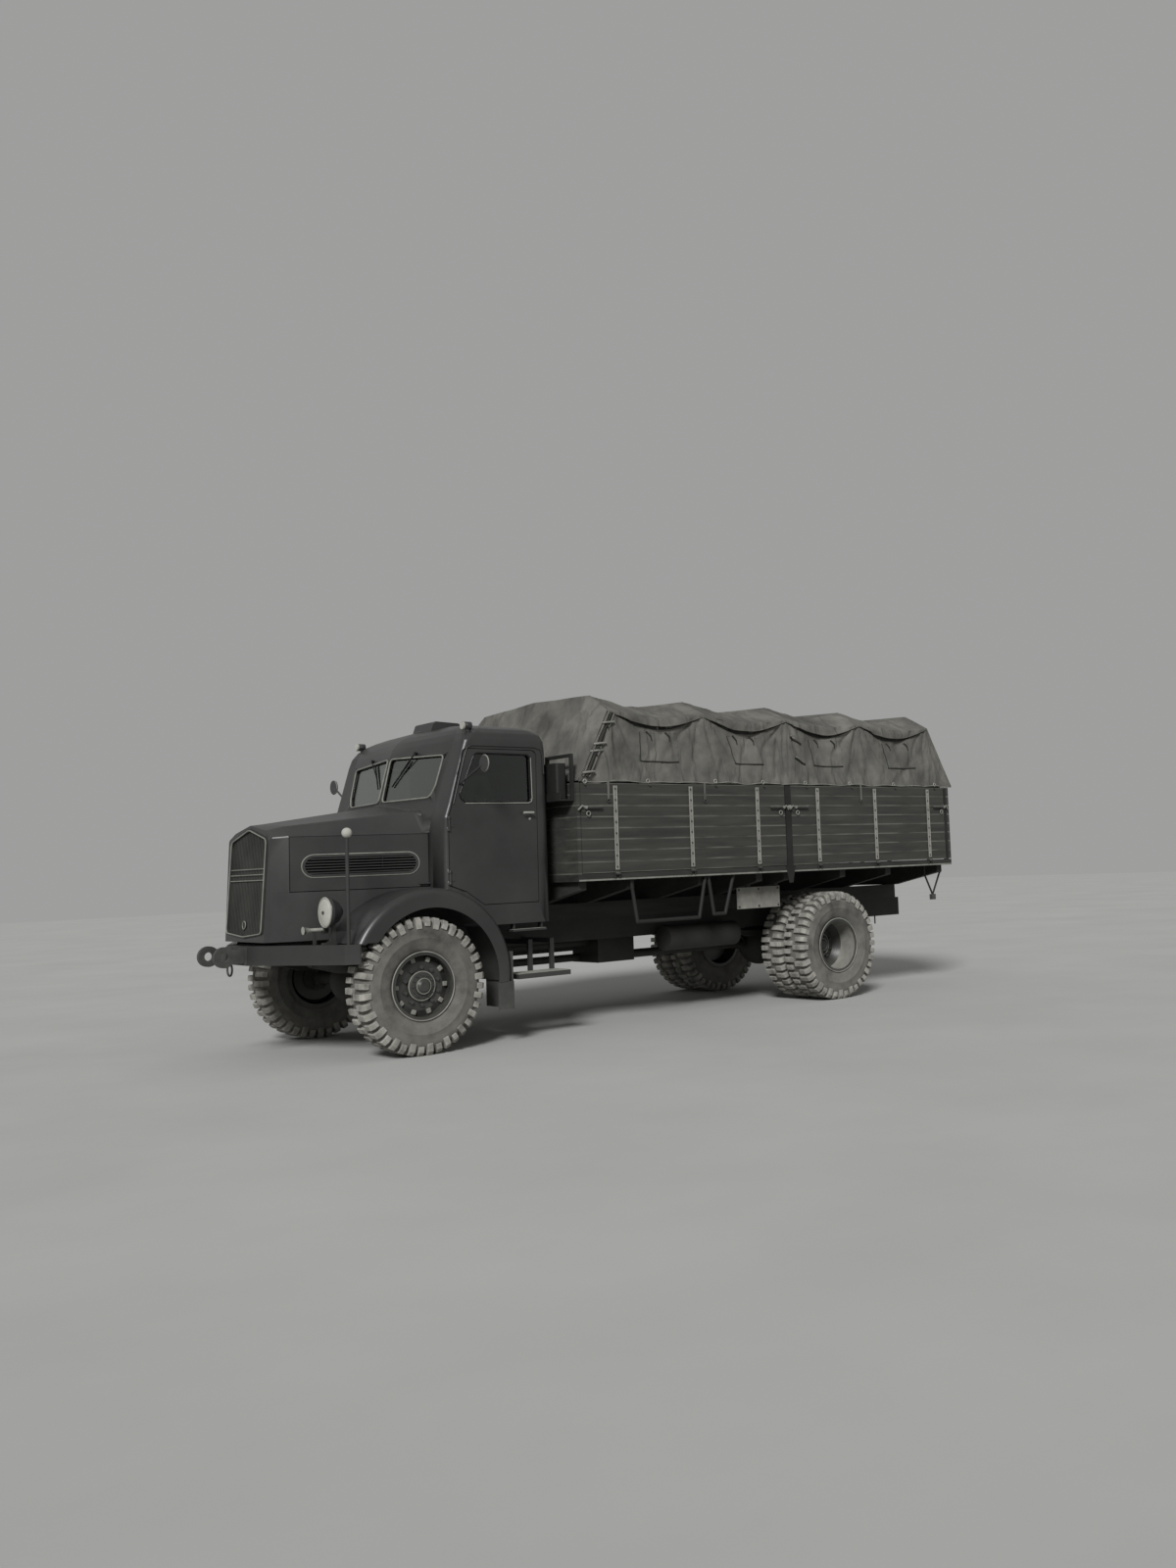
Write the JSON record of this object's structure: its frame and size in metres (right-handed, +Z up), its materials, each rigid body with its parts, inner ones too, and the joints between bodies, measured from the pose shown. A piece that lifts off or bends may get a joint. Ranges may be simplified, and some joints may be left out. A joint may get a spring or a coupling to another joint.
{
  "type": "military cargo truck",
  "caption": "Long-bonneted military cargo truck with a divided-windscreen cab, wooden dropside bed under a canvas tilt, steered front axle and twin rear wheels",
  "frame": {"origin": "on the ground in the middle of the overall length and width", "axes": "+X towards the rear, +Y towards the truck's right side, +Z up"},
  "size_m": [8, 2.93, 3.03],
  "materials": {
    "body_paint": "matt",
    "grille_paint": "satin",
    "chassis_paint": "matt",
    "coupling_steel": "matt",
    "wheel_paint": "matt",
    "tyre_rubber": "matt",
    "flap_rubber": "matt",
    "bed_wood": "matt painted",
    "canvas": "matt woven",
    "window_glass": "clear",
    "seat_leather": "satin",
    "control_black": "gloss"
  },
  "bodies": {
    "chassis": {"air_tank": "body_paint", "bed_bearers": "bed_wood", "bed_floor": "bed_wood", "bed_stakes": "chassis_paint", "bench_base": "body_paint", "bench_cushions": "seat_leather", "bonnet_top": "body_paint", "bumper": "body_paint", "cab_glass": "window_glass", "cab_shell": "body_paint", "cab_steps": "body_paint", "canvas_tilt": "canvas", "chassis_frame": "chassis_paint", "dashboard": "body_paint", "drive_shafts": "chassis_paint", "engine_block": "chassis_paint", "front_axle": "chassis_paint", "fuel_tank": "body_paint", "grille": "grille_paint", "headboard": "bed_wood", "hanging_links": "coupling_steel", "headboard_rack": "chassis_paint", "headlamps": "body_paint", "marker_poles": "body_paint", "mud_flaps": "flap_rubber", "nose_shell": "body_paint", "rear_axle": "chassis_paint", "roof_fittings": "body_paint", "side_guards": "chassis_paint", "springs_front": "chassis_paint", "springs_rear": "chassis_paint", "steering_wheel": "control_black", "tilt_bows": "chassis_paint", "tow_coupling_rear": "coupling_steel", "tow_eyes_front": "coupling_steel", "transfer_case": "chassis_paint", "wings": "body_paint"},
    "knuckle_left": {"knuckle_left": "chassis_paint"},
    "front_wheel_left": {"tyre_front_left": "tyre_rubber", "wheel_front_left": "wheel_paint"},
    "rear_wheels_left": {"tyres_rear_left": "tyre_rubber", "wheels_rear_left": "wheel_paint"},
    "door_left": {"door_left": "body_paint", "door_glass_left": "window_glass"},
    "bonnet_side_left": {"bonnet_side_left": "body_paint"},
    "dropside_front_left": {"dropside_front_left": "bed_wood"},
    "dropside_rear_left": {"dropside_rear_left": "bed_wood"},
    "knuckle_right": {"knuckle_right": "chassis_paint"},
    "front_wheel_right": {"tyre_front_right": "tyre_rubber", "wheel_front_right": "wheel_paint"},
    "rear_wheels_right": {"tyres_rear_right": "tyre_rubber", "wheels_rear_right": "wheel_paint"},
    "door_right": {"door_right": "body_paint", "door_glass_right": "window_glass"},
    "bonnet_side_right": {"bonnet_side_right": "body_paint"},
    "dropside_front_right": {"dropside_front_right": "bed_wood"},
    "dropside_rear_right": {"dropside_rear_right": "bed_wood"},
    "tailgate": {"tailgate": "bed_wood"}
  },
  "joints": [
    {"name": "steer_left", "type": "hinge", "parent": "chassis", "child": "knuckle_left", "pos_m": [-2.7, -0.85, 0.545], "axis": [0, 0, 1], "range_deg": [-30, 30]},
    {"name": "front_wheel_left_spin", "type": "hinge", "parent": "knuckle_left", "child": "front_wheel_left", "pos_m": [-2.7, -0.985, 0.545], "axis": [0, 1, 0], "continuous": true},
    {"name": "rear_wheels_left_spin", "type": "hinge", "parent": "chassis", "child": "rear_wheels_left", "pos_m": [1.9, -0.925, 0.545], "axis": [0, 1, 0], "continuous": true},
    {"name": "door_left_hinge", "type": "hinge", "parent": "chassis", "child": "door_left", "pos_m": [-2.427, -1.08, 1.6], "axis": [0, 0, -1], "range_deg": [0, 70]},
    {"name": "bonnet_side_left_hinge", "type": "hinge", "parent": "chassis", "child": "bonnet_side_left", "pos_m": [-3.53, -0.52, 1.765], "axis": [-0.9645, 0.264, 0], "range_deg": [0, 80]},
    {"name": "dropside_front_left_hinge", "type": "hinge", "parent": "chassis", "child": "dropside_front_left", "pos_m": [-0.025, -1.262, 1.365], "axis": [1, 0, 0], "range_deg": [0, 180]},
    {"name": "dropside_rear_left_hinge", "type": "hinge", "parent": "chassis", "child": "dropside_rear_left", "pos_m": [2.46, -1.262, 1.365], "axis": [1, 0, 0], "range_deg": [0, 180]},
    {"name": "steer_right", "type": "hinge", "parent": "chassis", "child": "knuckle_right", "pos_m": [-2.7, 0.85, 0.545], "axis": [0, 0, 1], "range_deg": [-30, 30]},
    {"name": "front_wheel_right_spin", "type": "hinge", "parent": "knuckle_right", "child": "front_wheel_right", "pos_m": [-2.7, 0.985, 0.545], "axis": [0, 1, 0], "continuous": true},
    {"name": "rear_wheels_right_spin", "type": "hinge", "parent": "chassis", "child": "rear_wheels_right", "pos_m": [1.9, 0.925, 0.545], "axis": [0, 1, 0], "continuous": true},
    {"name": "door_right_hinge", "type": "hinge", "parent": "chassis", "child": "door_right", "pos_m": [-2.427, 1.08, 1.6], "axis": [0, 0, 1], "range_deg": [0, 70]},
    {"name": "bonnet_side_right_hinge", "type": "hinge", "parent": "chassis", "child": "bonnet_side_right", "pos_m": [-3.53, 0.52, 1.765], "axis": [0.9645, 0.264, 0], "range_deg": [0, 80]},
    {"name": "dropside_front_right_hinge", "type": "hinge", "parent": "chassis", "child": "dropside_front_right", "pos_m": [-0.025, 1.262, 1.365], "axis": [-1, 0, 0], "range_deg": [0, 180]},
    {"name": "dropside_rear_right_hinge", "type": "hinge", "parent": "chassis", "child": "dropside_rear_right", "pos_m": [2.46, 1.262, 1.365], "axis": [-1, 0, 0], "range_deg": [0, 180]},
    {"name": "tailgate_hinge", "type": "hinge", "parent": "chassis", "child": "tailgate", "pos_m": [3.744, 0, 1.365], "axis": [0, 1, 0], "range_deg": [0, 90]}
  ],
  "couplings": [
    {"joint": "steer_left", "follows": "steer_right", "ratio": 1}
  ]
}
